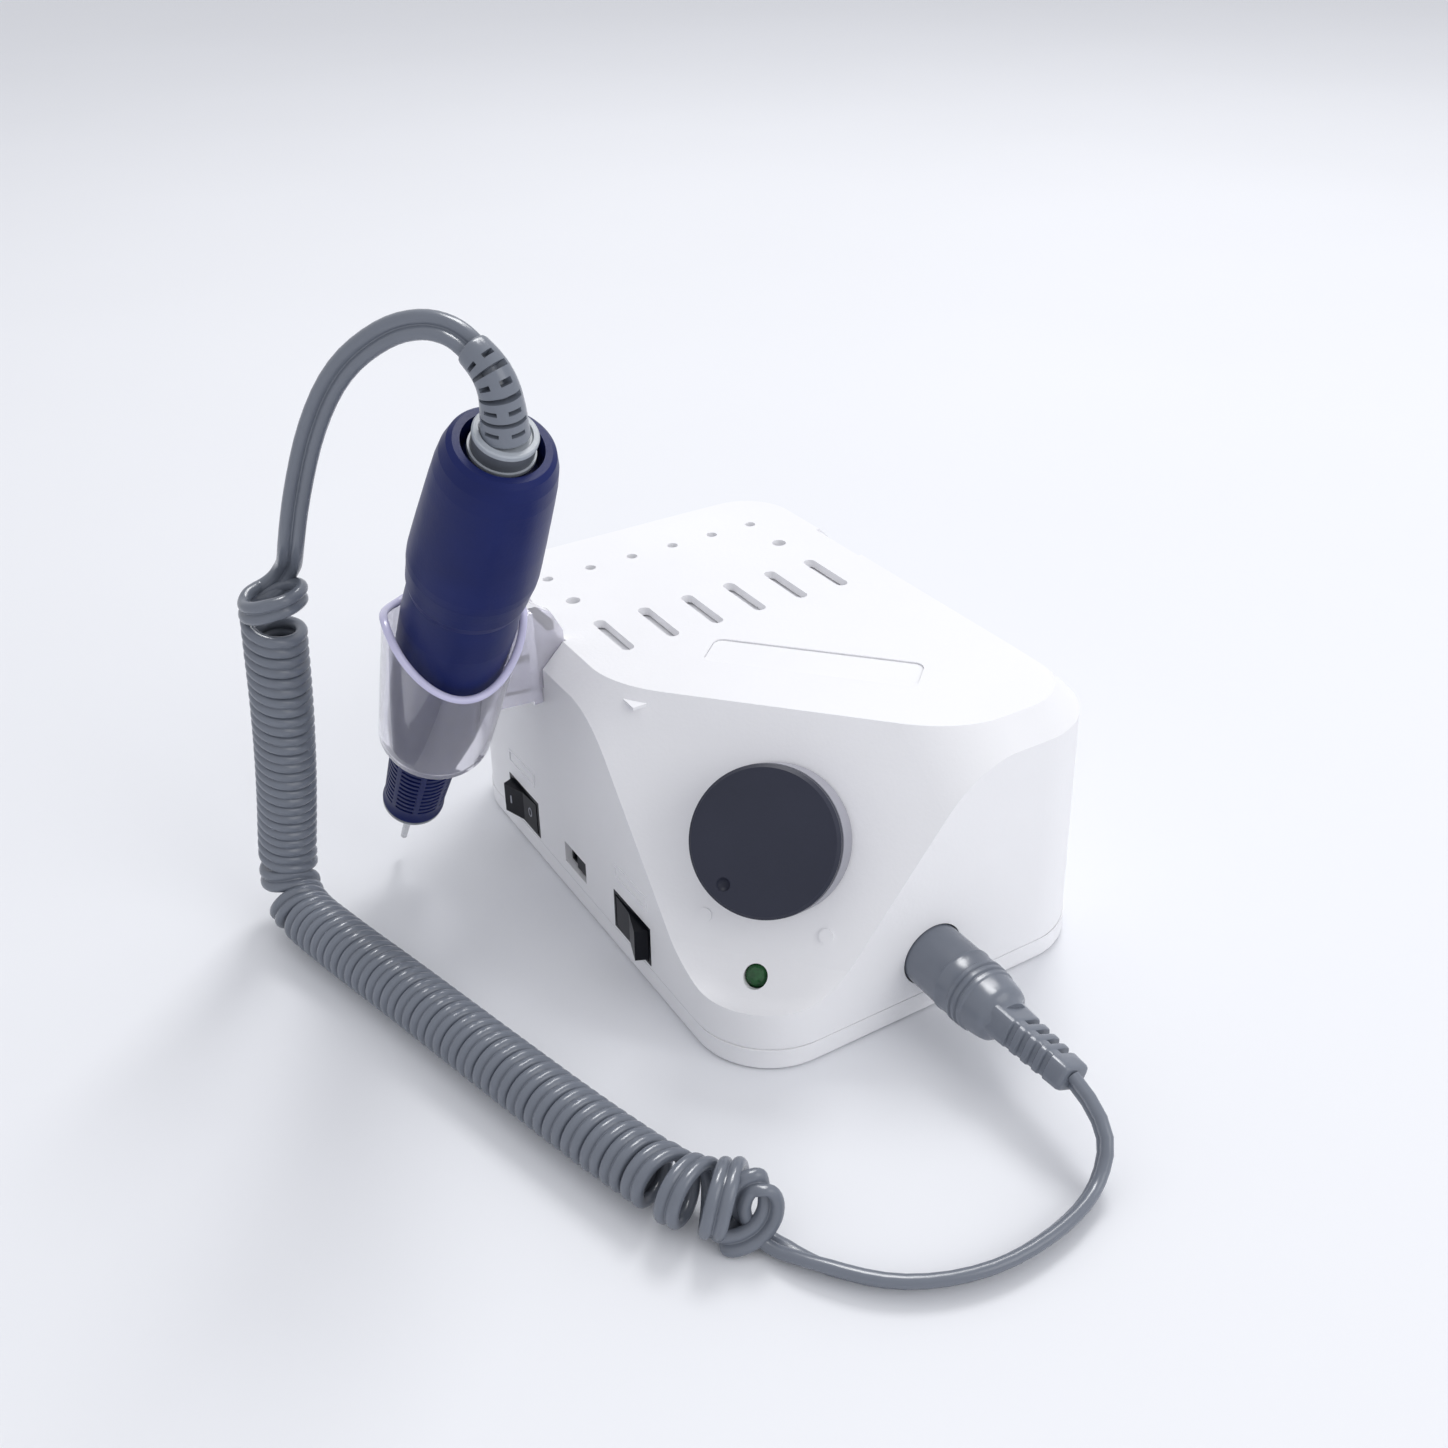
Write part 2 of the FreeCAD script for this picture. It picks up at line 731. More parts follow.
rounded(tray_body, "tray_rounding", "PartDesign::Fillet", bottom_rim, size.tray_round)
place(tray_body, (0, 0, size.foot_height))
hollow_inset = size.wall + TRAY_TOP * LEAN
outline = rectangle(
    hollow_inset, hollow_inset, size.box_width - hollow_inset, size.box_depth - hollow_inset
)
hollow = padded("tray_hollow", XY, outline, dim(10))
rounded(hollow, "tray_hollow_corners", "PartDesign::Fillet", upright, size.corner_radius - size.wall)
place(hollow, (0, 0, TRAY_FLOOR))
bosses = []
drilled = []
for number, (x, y) in enumerate(FEET):
    height = size.post_bottom - TRAY_FLOOR
    bosses.append(rod(f"boss_{number}", size.post_radius, height + 0.5, (x, y, TRAY_FLOOR - 0.5)))
    drilled.append(rod(f"foot_recess_{number}", size.foot_radius + 0.1, FOOT_TOP, (x, y, 0)))
    drilled.append(rod(f"head_recess_{number}", size.screw_head_radius + 0.2, HEAD_TOP, (x, y, 0)))
    drilled.append(rod(f"screw_hole_{number}", size.screw_radius + 0.1, 20, (x, y, 0)))
BOARD_BOSSES = [
    (size.board_left + across, size.board_front + along)
    for across in (4, size.board_length - 4)
    for along in (4, size.board_width - 4)
]
CORE_Y = size.box_depth - size.core_from_back
STRAP_ENDS = [(size.core_from_left + (size.core_length / 2 + 5) * side, CORE_Y) for side in (-1, 1)]
for number, (x, y) in enumerate(BOARD_BOSSES):
    tall = size.boss_height + 0.5
    bosses.append(rod(f"board_boss_{number}", size.boss_radius, tall, (x, y, TRAY_FLOOR - 0.5)))
    drilled.append(rod(f"board_pilot_{number}", size.screw_radius + 0.05, 6, (x, y, TRAY_FLOOR + 0.4)))
for number, (x, y) in enumerate(STRAP_ENDS):
    bosses.append(rod(f"strap_boss_{number}", size.post_radius, 5.5, (x, y, TRAY_FLOOR - 0.5)))
    drilled.append(rod(f"strap_pilot_{number}", size.screw_radius + 0.05, 5.5, (x, y, TRAY_FLOOR + 0.4)))
tray = cut("bottom_tray", union("tray_solid", [cut("tray_dish", tray_body, [hollow])] + bosses), drilled)
spot(tray, (0, 0, 0))
feet = [rod(f"foot_{number}", size.foot_radius, FOOT_TOP, (x, y, 0)) for number, (x, y) in enumerate(FEET)]
spot(group("rubber_feet", feet), (0, 0, 0))


def screw(name, length, at, turn=(0, 0, 0)):
    """A pan head screw. Its shank runs along its own Z and its head sits below zero."""
    head = (size.screw_head_radius, 0), (size.screw_head_radius, -size.screw_head)
    profile = [(0, length), (0, -size.screw_head), head[1], head[0]]
    profile += [(size.screw_radius, 0), (size.screw_radius, length)]
    return place(turned(name, profile), at, turn)


housing_screws = [
    screw(f"housing_screw_{number}", size.screw_length, (x, y, HEAD_TOP))
    for number, (x, y) in enumerate(FEET)
]
spot(group("housing_screws", housing_screws), (0, 0, 0))

# Transformer: laminated steel core with three limbs, a winding round the middle one, and a
# steel strap that the core stands on
CORE_LOW = TRAY_FLOOR + 5
limb = size.core_length / 6
core_corner = (
    size.core_from_left - size.core_length / 2,
    CORE_Y - size.core_width / 2,
    CORE_LOW + 1.6,
)
core_block = block("core_block", size.core_length, size.core_width, size.core_height, core_corner)
windows = [
    block(
        f"core_window_{number}",
        limb,
        size.core_width + 4,
        size.core_height - 2 * limb,
        (core_corner[0] + limb * start, core_corner[1] - 2, core_corner[2] + limb),
    )
    for number, start in enumerate((1, 4))
]
spot(cut("transformer_core", core_block, windows), (0, 0, 0))
wrap = limb - 0.3
wound = block(
    "wound",
    limb * 2 + wrap * 2,
    size.core_width + 2 * size.coil_wrap,
    size.core_height - 2 * limb - 0.4,
    (
        size.core_from_left - limb - wrap,
        CORE_Y - size.core_width / 2 - size.coil_wrap,
        core_corner[2] + limb + 0.2,
    ),
)
limb_space = block(
    "limb_space",
    limb * 2 + 0.1,
    size.core_width + 0.1,
    size.core_height,
    (size.core_from_left - limb - 0.05, core_corner[1] - 0.05, core_corner[2]),
)
spot(cut("transformer_winding", wound, [limb_space]), (0, 0, 0))
strap_half = size.core_length / 2 + 9
strap_corner = (size.core_from_left - strap_half, CORE_Y - 6, CORE_LOW)
strap = block("strap", strap_half * 2, 12, 1.6, strap_corner)
strap_holes = [
    rod(f"strap_hole_{number}", size.screw_radius + 0.1, 10, (x, y, CORE_LOW - 3))
    for number, (x, y) in enumerate(STRAP_ENDS)
]
spot(cut("transformer_strap", strap, strap_holes), (0, 0, 0))

# Control board with its parts: two capacitors, a heat sink and the power transistor on it
BOARD_LOW = TRAY_FLOOR + size.boss_height
BOARD_TOP = BOARD_LOW + size.board_thickness
board_corner = (size.board_left, size.board_front, BOARD_LOW)
board = block("board", size.board_length, size.board_width, size.board_thickness, board_corner)
board_holes = [
    rod(f"board_hole_{number}", size.screw_radius + 0.1, 10, (x, y, BOARD_LOW - 3))
    for number, (x, y) in enumerate(BOARD_BOSSES)
]
spot(cut("control_board", board, board_holes), (0, 0, 0))
cans = [
    rod(
        f"capacitor_{number}",
        size.capacitor_radius,
        size.capacitor_height,
        (size.board_left + size.board_length - 12 - 18 * number, size.board_front + 42, BOARD_TOP),
    )
    for number in (0, 1)
]
spot(group("board_capacitors", cans), (0, 0, 0))
sink_x = size.board_left + 16
sink_y = size.board_front + 22
sink = [block("sink_plate", size.sink_length, 2, size.sink_height, (sink_x, sink_y, BOARD_TOP))]
for number in range(5):
    fin_x = sink_x + (size.sink_length - 1.4) / 4 * number
    sink.append(block(f"sink_fin_{number}", 1.4, 9, size.sink_height, (fin_x, sink_y + 1, BOARD_TOP)))
spot(union("heat_sink", sink), (0, 0, 0))
device = (sink_x + size.sink_length / 2 - 5, sink_y - 4.4, BOARD_TOP + 3)
legs = []
for number in range(3):
    leg_corner = (device[0] + 2.1 + 2.5 * number, device[1] + 2, BOARD_TOP)
    legs.append(block(f"transistor_leg_{number}", 0.8, 0.6, 4, leg_corner))
spot(union("power_transistor", [block("transistor_case", 10, 4.4, 15, device)] + legs), (0, 0, 0))
small_screws = [
    screw(f"board_screw_{number}", dim(4), (x, y, BOARD_TOP), (0, 0, 180))
    for number, (x, y) in enumerate(BOARD_BOSSES)
]
small_screws += [
    screw(f"strap_screw_{number}", dim(5), (x, y, CORE_LOW + 1.6), (0, 0, 180))
    for number, (x, y) in enumerate(STRAP_ENDS)
]

# Mains inlet with its flange screwed over the opening, blades inside, fuse holder and pedal jack
inlet_flange = block(
    "inlet_flange",
    size.inlet_length + 16,
    size.inlet_height + 3,
    size.inlet_flange,
    (-size.inlet_length / 2 - 8, -size.inlet_height / 2 - 1.5, 0),
)
inlet_case = block(
    "inlet_case",
    size.inlet_length,
    size.inlet_height,
    size.inlet_depth + 0.5,
    (-size.inlet_length / 2, -size.inlet_height / 2, -size.inlet_depth),
)
inlet_mouth = block(
    "inlet_mouth",
    size.inlet_length - 4,
    size.inlet_height - 5,
    40,
    (2 - size.inlet_length / 2, 2.5 - size.inlet_height / 2, 2 - size.inlet_depth),
)
ear_holes = [
    rod(f"inlet_ear_{side + 1}", size.screw_radius + 0.1, 10, (INLET_EAR * side, 0, -3)) for side in (-1, 1)
]
inlet_solid = union("inlet_solid", [inlet_flange, inlet_case])
blade_slots = []
blades = []
for number, (across, down) in enumerate(((-4, 0), (4, 0))):
    corner = (across - 1, down - 1, -size.inlet_depth - 4)
    blade_slots.append(block(f"blade_slot_{number}", 2, 2, 10, corner))
    blades.append(block(f"blade_{number}", 2, 2, size.inlet_depth + 1, corner))
inlet = cut("mains_inlet", inlet_solid, [inlet_mouth] + ear_holes + blade_slots)
spot(inlet, back_point(size.inlet_from_left, size.back_row, 0), BACK_TURN)
spot(group("inlet_blades", blades), back_point(size.inlet_from_left, size.back_row, 0), BACK_TURN)
for side in (-1, 1):
    at = back_point(size.inlet_from_left + INLET_EAR * side, size.back_row, size.inlet_flange)
    small_screws.append(screw(f"inlet_screw_{side + 1}", dim(7), at, (0, 0, size.draft_angle + 90)))
spot(group("small_screws", small_screws), (0, 0, 0))

fuse = [
    (4.2, -size.fuse_length),
    (5.2, -size.fuse_length),
    (5.2, -12),
    (size.fuse_radius, -12),
    (size.fuse_radius, 0),
    (size.fuse_radius + 1.6, 0),
    (size.fuse_radius + 1.6, 1.4),
    (4.2, 1.4),
]
fuse_at = back_point(size.fuse_from_left, size.back_row, 0)
spot(turned("fuse_holder", fuse), fuse_at, BACK_TURN)
fuse_top = [(0, -16), (3.0, -16), (3.0, -2), (4.1, -2), (4.1, 1.4)]
fuse_top += [(5.4, 1.4), (5.4, 6.6), (4.8, 7.2), (0, 7.2)]
spot(turned("fuse_cap", fuse_top), fuse_at, BACK_TURN)
pedal = [
    (3.3, -size.pedal_depth + 2),
    (3.3, 1.2),
    (size.pedal_radius + 1.4, 1.2),
    (size.pedal_radius + 1.4, 0),
    (size.pedal_radius, 0),
    (size.pedal_radius, -size.pedal_depth),
    (0, -size.pedal_depth),
    (0, -size.pedal_depth + 2),
]
spot(turned("pedal_jack", pedal), back_point(size.pedal_from_left, size.back_row, 0), BACK_TURN)

# Speed control: a potentiometer bolted through the panel, and a knob with a dimpled cap on its shaft
KNOB_AT = panel_point(size.knob_along, -size.knob_down, 0)
under = -size.wall
pot = [
    (size.shaft_radius + 0.06, under - 1.4),
    (size.shaft_radius + 0.06, size.bushing_length - size.wall),
    (size.bushing_radius, size.bushing_length - size.wall),
    (size.bushing_radius, under),
    (size.pot_radius, under),
    (size.pot_radius, under - size.pot_depth),
    (0, under - size.pot_depth),
    (0, under - 1.4),
]
spot(turned("speed_pot", pot), KNOB_AT, PANEL_TURN)
nut_hex = tie(doc.addObject("Part::Prism", "nut_hex"), Circumradius=size.bushing_radius + 2.4, Height=2)
nut_hex.Polygon = 6
nut_bore = rod("nut_bore", size.bushing_radius + 0.05, 10, (0, 0, -2))
spot(cut("pot_nut", nut_hex, [nut_bore]), KNOB_AT, PANEL_TURN)
shaft_top = size.knob_gap + size.shaft_length
shaft = rod("knob_shaft", size.shaft_radius, shaft_top + size.wall + 1.1)
spot(shaft, panel_point(size.knob_along, -size.knob_down, under - 1.1), PANEL_TURN)
skirt_top = size.knob_height - size.knob_cap_height
hub_low = size.bushing_length - size.wall + 0.6
knob = [
    (size.shaft_radius + 0.03, hub_low),
    (size.shaft_radius + 2.6, hub_low),
    (size.shaft_radius + 2.6, skirt_top - 1.8),
    (size.knob_radius - size.knob_wall, skirt_top - 1.8),
    (size.knob_radius - size.knob_wall, size.knob_gap),
    (size.knob_radius, size.knob_gap),
    (size.knob_radius - 0.15, skirt_top),
    (size.shaft_radius + 0.03, skirt_top),
]
spot(turned("speed_knob", knob), KNOB_AT, PANEL_TURN)
cap = [
    (0, skirt_top + 1.2),
    (size.shaft_radius + 0.5, skirt_top + 1.2),
    (size.shaft_radius + 0.5, skirt_top),
    (size.knob_radius - 0.3, skirt_top),
    (size.knob_radius - 0.3, size.knob_height - 0.9),
    (size.knob_radius - 1.1, size.knob_height),
    (0, size.knob_height),
]
dimple_at = (
    -size.dimple_from_axis * sine(size.mark_swing),
    -size.dimple_from_axis * cosine(size.mark_swing),
    size.knob_height + size.dimple_radius * 0.25,
)
dimple = tie(doc.addObject("Part::Sphere", "dimple"), Radius=size.dimple_radius)
place(dimple, dimple_at)
spot(cut("knob_cap", turned("cap_blank", cap), [dimple]), KNOB_AT, PANEL_TURN)

# Pilot lamp: a green domed lens sunk in the hollow at the panel's foot, held from behind
lamp_dome = size.lamp_radius * 0.55
lens = [
    (0, under - size.lamp_flange),
    (size.lamp_radius + 1, under - size.lamp_flange),
    (size.lamp_radius + 1, under),
    (size.lamp_radius, under),
    (size.lamp_radius, size.lamp_rise - 0.75 - lamp_dome * 0.4),
    (size.lamp_radius * 0.72, size.lamp_rise - 0.45),
    (size.lamp_radius * 0.35, size.lamp_rise - 0.1),
    (0, size.lamp_rise),
]
LAMP_AT = panel_point(size.lamp_along, -size.lamp_down, 0)
spot(turned("led_lens", lens), LAMP_AT, PANEL_TURN)

# Rocker switches: a black frame that snaps into the left wall, and a rocker on two stub pins
def rocker_switch(name, roll, offset):
    """One switch frame and its rocker. A positive roll leaves the far half standing out."""
    middle_y = size.switch_middle + offset
    body = block(
        f"{name}_case",
        SWITCH_WIDTH,
        SWITCH_LENGTH,
        size.switch_body_depth + 0.1,
        (-SWITCH_WIDTH / 2, -SWITCH_LENGTH / 2, -size.switch_body_depth),
    )
    cavity_length = size.rocker_length + 2 * size.rocker_clearance
    cavity_width = size.rocker_width + 2 * size.rocker_clearance
    cavity = block(
        f"{name}_cavity",
        cavity_width,
        cavity_length,
        40,
        (-cavity_width / 2, -cavity_length / 2, -size.rocker_depth - 1.6),
    )
    pin_hole = rod(
        f"{name}_pin_hole",
        size.rocker_pin_radius + 0.1,
        SWITCH_WIDTH + 4,
        (-SWITCH_WIDTH / 2 - 2, 0, -size.rocker_pivot),
        (0, 90, 0),
    )
    tabs = [
        block(f"{name}_tab_{number}", 4.8, 0.8, 6, (-2.4, along - 0.4, -size.switch_body_depth - 5))
        for number, along in enumerate((-6, 0, 6))
    ]
    hollowed = cut(f"{name}_hollowed", body, [cavity, pin_hole])
    spot(
        union(f"{name}_switch_body", [hollowed] + tabs),
        left_point(size.switch_height, middle_y, 0),
        LEFT_TURN,
    )
    half = size.rocker_length / 2
    outline = [
        (-half + 0.7, size.rocker_crown + size.rocker_pivot),
        (0, size.rocker_waist + size.rocker_pivot),
        (half - 0.7, size.rocker_crown + size.rocker_pivot),
        (half, 0),
        (half - 0.5, size.rocker_pivot - size.rocker_depth),
        (-half + 0.5, size.rocker_pivot - size.rocker_depth),
        (-half, 0),
    ]
    form = padded(f"{name}_rocker_form", YZ, outline, size.rocker_width, both_ways=True)
    pin_length = SWITCH_WIDTH - 0.3
    pin = rod(f"{name}_pin", size.rocker_pin_radius, pin_length, (-pin_length / 2, 0, 0), (0, 90, 0))
    pivot = left_point(size.switch_height, middle_y, -size.rocker_pivot)
    spot(union(f"{name}_rocker", [form, pin]), pivot, (0, size.draft_angle - 90, roll))


rocker_switch("power", size.rocker_throw, size.switch_spacing)
rocker_switch("direction", -size.rocker_throw, -size.switch_spacing)

# Slide switch deep in its window: the knob stands on a tongue that runs in a slot
selector_face = -size.window_depth
selector_case = block(
    "selector_case",
    size.window_height - 0.1,
    size.window_length - 0.1,
    9,
    (-(size.window_height - 0.1) / 2, -(size.window_length - 0.1) / 2, selector_face - 9),
)
slot_length = size.slider_length + size.slider_stroke
track = block(
    "selector_track",
    size.slider_width + 0.6,
    slot_length + 0.6,
    10,
    (-size.slider_width / 2 - 0.3, -slot_length / 2 - 0.3, selector_face - 1.4),
)
tongue_slot = block(
    "tongue_slot",
    2.2,
    slot_length - 1.4,
    20,
    (-1.1, -slot_length / 2 + 0.7, selector_face - 6),
)
selector_tabs = [
    block(f"selector_tab_{number}", 2.4, 0.6, 5, (-1.2, along - 0.3, selector_face - 13))
    for number, along in enumerate((-4, 0, 4))
]
SELECTOR_AT = left_point(size.switch_height, size.switch_middle, 0)
selector = cut("selector_hollowed", selector_case, [track, tongue_slot])
spot(union("selector_switch_body", [selector] + selector_tabs), SELECTOR_AT, LEFT_TURN)
slider_low = -slot_length / 2
slider_knob = block(
    "slider_knob",
    size.slider_width,
    size.slider_length,
    2.4,
    (-size.slider_width / 2, slider_low, selector_face - 1.1),
)
tongue = block(
    "slider_tongue",
    1.6,
    size.slider_length - 2,
    4.4,
    (-0.8, slider_low + 1, selector_face - 5.4),
)
spot(union("selector_slider", [slider_knob, tongue]), SELECTOR_AT, LEFT_TURN)

# Handpiece socket behind the front pad, and the cord's plug: shell, pins and ribbed boot
socket_low = -size.jack_socket
pin_spots = [
    (size.pin_circle * cosine(angle), size.pin_circle * sine(angle)) for angle in (45, 135, 225, 315)
]
socket = [
    (size.jack_hole_radius, 0),
    (size.jack_radius, 0),
    (size.jack_radius, -size.jack_depth),
    (0, -size.jack_depth),
    (0, socket_low),
    (size.jack_hole_radius, socket_low),
]
contacts = []
for number, (x, y) in enumerate(pin_spots):
    contact_low = (x, y, socket_low - size.pin_length - 1)
    contacts.append(rod(f"contact_{number}", size.pin_radius + 0.1, size.pin_length + 2, contact_low))
spot(cut("handpiece_jack", turned("jack_blank", socket), contacts), jack_back, FRONT_TURN)
plug_nose = -size.jack_pad - size.jack_socket + 0.3
PLUG_AT = (size.box_width / 2, 0, size.jack_height)
reach = size.plug_length
plug = [
    (0, plug_nose),
    (size.plug_radius - 0.5, plug_nose),
    (size.plug_radius, plug_nose + 0.5),
    (size.plug_radius, reach * 0.58),
    (size.plug_radius - 0.35, reach * 0.60),
    (size.plug_radius - 0.35, reach * 0.63),
    (size.plug_radius + 0.15, reach * 0.65),
    (size.plug_radius + 0.15, reach * 0.69),
    (size.plug_radius - 0.5, reach * 0.71),
    (size.plug_radius - 0.5, reach * 0.74),
    (size.plug_radius, reach * 0.76),
    (size.plug_radius, reach * 0.80),
    (size.plug_radius - 0.8, reach * 0.82),
    (size.plug_radius - 1.7, reach * 0.92),
    (size.plug_radius - 2.9, reach),
    (0, reach),
]
spot(turned("plug_shell", plug), PLUG_AT, FRONT_TURN)
pins = [
    rod(f"pin_{number}", size.pin_radius, size.pin_length, (x, y, plug_nose - size.pin_length))
    for number, (x, y) in enumerate(pin_spots)
]
spot(group("plug_pins", pins), PLUG_AT, FRONT_TURN)
boot = [cone("boot_core", 4.6, 3.3, size.plug_boot_length - 2, (0, 0, size.plug_length))]
for number in range(4):
    half_width = 5.4 - 0.35 * number
    half_height = 3.9 - 0.2 * number
    start = size.plug_length + 1.2 + 3.1 * number
    low_corner = (-half_width, -half_height, start)
    boot.append(block(f"boot_rib_{number}", 2 * half_width, 2 * half_height, 1.7, low_corner))
end_start = size.plug_length + size.plug_boot_length - 3.6
boot.append(block("boot_end", 8.6, 6.4, 3.6, (-4.3, -3.2, end_start)))
spot(union("plug_boot", boot), PLUG_AT, FRONT_TURN)

# Clear holder: a leaning open cup with a slanted rim, and ribs out to a hook in the left notch
HOLDER_AT = (size.holder_x, size.holder_y, size.holder_z)
HOLDER_TURN = (0, 0, size.lean)
cup = [
    (0, -size.cup_down),
    (size.cup_bottom_radius - 1.4, -size.cup_down),
    (size.cup_bottom_radius, 1.8 - size.cup_down),
    (size.cup_top_radius, size.cup_up),
    (0, size.cup_up),
]
bore = [
    (0, -size.cup_down - 5),
    (size.cup_floor_radius, -size.cup_down - 5),
    (size.cup_floor_radius, size.cup_floor - size.cup_down),
    (size.cup_bottom_radius - size.cup_wall, size.cup_floor - size.cup_down + 0.6),
    (size.cup_top_radius - size.cup_wall, size.cup_up),
    (size.cup_top_radius - size.cup_wall, size.cup_up + 5),
    (0, size.cup_up + 5),
]
above_rim = rod(
    "above_rim", 90, 90, (0, 0, size.rim_middle), (0, size.rim_side_slope, size.rim_slope)
)
cup_shape = place(cut("cup_solid", turned("cup_form", cup), [above_rim]), HOLDER_AT, HOLDER_TURN)
bore_shape = place(turned("cup_bore", bore), HOLDER_AT, HOLDER_TURN)
NOTCH_LOW = size.box_height - size.notch_drop
wall_at_hook = (NOTCH_LOW - 4) * LEAN - 0.05
hook_in = size.notch_reach - size.hook_gap
hook_outline = [
    (wall_at_hook - size.hook_wall, NOTCH_LOW - 4),
    (wall_at_hook, NOTCH_LOW - 4),
    (wall_at_hook, NOTCH_LOW + 0.3),
    (hook_in, NOTCH_LOW + 0.3),
    (hook_in, size.box_height + 3),
    (hook_in - 3, size.box_height + 9),
    (hook_in - 7, size.box_height + 11.5),
    (wall_at_hook - size.hook_wall, size.box_height + 11.5),
]
hook_length = size.notch_length - 2 * size.hook_gap
hook = padded("hook_form", XZ, hook_outline, hook_length, both_ways=True)
place(hook, (0, size.notch_start + size.notch_length / 2, 0))
hook_pocket = block(
    "hook_pocket",
    hook_in - wall_at_hook - 2 * size.hook_wall + 1,
    hook_length - 2 * size.hook_wall,
    40,
    (
        wall_at_hook + size.hook_wall - 1,
        size.notch_start + size.hook_gap + size.hook_wall,
        NOTCH_LOW + size.hook_wall,
    ),
)
rib_outline = [
    (wall_at_hook - 1, NOTCH_LOW - 3),
    (wall_at_hook - 1, size.box_height + 10),
    (-9, size.box_height + 9),
    (-13, size.box_height + 4),
    (-20, size.box_height - 4),
    (-20, NOTCH_LOW + 2),
    (-13, NOTCH_LOW - 2),
]
arms = []
for number, back in enumerate((1.5, 11.5)):
    rib = padded(f"rib_{number}", XZ, rib_outline, size.hook_wall, both_ways=True)
    arms.append(place(rib, (0, size.notch_start + back, 0)))
web = block("arm_web", 22, 12, 2, (-20, size.notch_start + 0.6, size.box_height - 6))
holder = union("holder_solid", [cup_shape, cut("hook", hook, [hook_pocket]), web] + arms)
spot(cut("handpiece_holder", holder, [bore_shape]), (0, 0, 0))

# Handpiece: everything is turned about one axis, from the rear rim down to the nose
TOOL_AT = (size.tool_x, size.tool_y, size.tool_z)
TOOL_TURN = (0, size.tool_side_lean, size.lean + 180)


def tool(name, profile):
    return spot(turned(name, profile), TOOL_AT, TOOL_TURN)


MOTOR_BORE = size.motor_radius + 0.05
grip = size.grip_radius
tool(
    "rear_housing",
    [
        (size.rim_hole, 0),
        (size.rim_radius - 0.4, 0),
        (size.rim_radius + 0.65, 1.0),
        (grip - 2.3, 4),
        (grip - 1.7, 8),
        (grip - 1.3, 13),
        (grip - 0.9, 19),
        (grip - 0.5, 25),
        (grip - 0.15, 31),
        (grip + 0.05, 35),
        (grip, size.seam_at),
        (MOTOR_BORE, size.seam_at),
        (MOTOR_BORE, size.motor_start - 2),
        (4, size.motor_start - 2),
        (4, size.motor_start - 5),
        (size.rim_hole, size.motor_start - 5),
    ],
)
quill_bore = size.quill_radius + 0.05
sleeve = size.sleeve_radius
tool(
    "front_sleeve",
    [
        (MOTOR_BORE, size.seam_at + 0.1),
        (grip - 0.05, size.seam_at + 0.1),
        (grip - 0.4, 41),
        (grip - 0.6, size.collar_end),
        (sleeve - 0.05, size.collar_end + 2.5),
        (sleeve + 0.25, 57),
        (sleeve, 69.5),
        (sleeve - 0.55, 85),
        (sleeve - 1.75, 100),
        (size.nose_top_radius + 0.4, size.nose_start),
        (quill_bore, size.nose_start),
        (quill_bore, size.motor_end + 0.4),
        (MOTOR_BORE, size.motor_end + 0.4),
    ],
)
tool(
    "rear_cap",
    [
        (2.9, -size.cap_rise),
        (size.cap_radius, -size.cap_rise),
        (size.cap_radius, 0.5),
        (size.cap_radius + 0.4, 1.0),
        (size.cap_radius + 0.4, 2.0),
        (size.rim_hole - 0.05, 2.6),
        (size.rim_hole - 0.05, size.motor_start - 5),
        (2.9, size.motor_start - 5),
    ],
)
BEARING_SEAT = 4.2
inside_can = size.motor_radius - size.motor_wall
tool(
    "motor_can",
    [
        (BEARING_SEAT, size.motor_start),
        (size.motor_radius, size.motor_start),
        (size.motor_radius, size.motor_end),
        (BEARING_SEAT, size.motor_end),
        (BEARING_SEAT, size.motor_end - 1.2),
        (inside_can, size.motor_end - 1.2),
        (inside_can, size.motor_start + 1.2),
        (BEARING_SEAT, size.motor_start + 1.2),
    ],
)
spacer = [(BEARING_SEAT, size.motor_start - 2), (MOTOR_BORE - 0.05, size.motor_start - 2)]
spacer += [(MOTOR_BORE - 0.05, size.motor_start), (BEARING_SEAT, size.motor_start)]
tool("motor_spacer", spacer)
magnet_low, magnet_high = size.motor_start + 5, size.motor_start + 33
magnets = turned(
    "magnet_ring",
    [
        (size.armature_radius + 0.6, magnet_low),
        (inside_can - 0.02, magnet_low),
        (inside_can - 0.02, magnet_high),
        (size.armature_radius + 0.6, magnet_high),
    ],
)
gap = block("magnet_gap", 60, 3, 60, (-30, -1.5, magnet_low - 5))
spot(cut("motor_magnets", magnets, [gap]), TOOL_AT, TOOL_TURN)
brush_at = size.motor_end - 7
brushes = [
    block(f"brush_{side + 1}", inside_can - 3.6, 2.4, 3, (start, -1.2, brush_at))
    for side, start in ((-1, 0.3 - inside_can), (1, dim(3.3)))
]
spot(group("motor_brushes", brushes), TOOL_AT, TOOL_TURN)
shaft_bore = size.motor_shaft_radius + 0.04
bearing_edge = BEARING_SEAT - 0.02
motor_bearings = []
for number, low in enumerate((size.motor_start - 1.4, size.motor_end - 2)):
    ring = [(shaft_bore, low), (bearing_edge, low), (bearing_edge, low + 3), (shaft_bore, low + 3)]
    motor_bearings.append(turned(f"motor_bearing_{number}", ring))
spot(group("motor_bearings", motor_bearings), TOOL_AT, TOOL_TURN)
quill_end = size.nose_end - 1.2
tool(
    "quill_tube",
    [
        (size.quill_radius - 0.8, size.motor_end + 8),
        (size.quill_radius, size.motor_end + 8),
        (size.quill_radius, quill_end),
        (size.quill_radius - 0.8, quill_end),
    ],
)
quill_inside = size.quill_radius - 0.82
spindle_bore = size.spindle_radius + 0.04
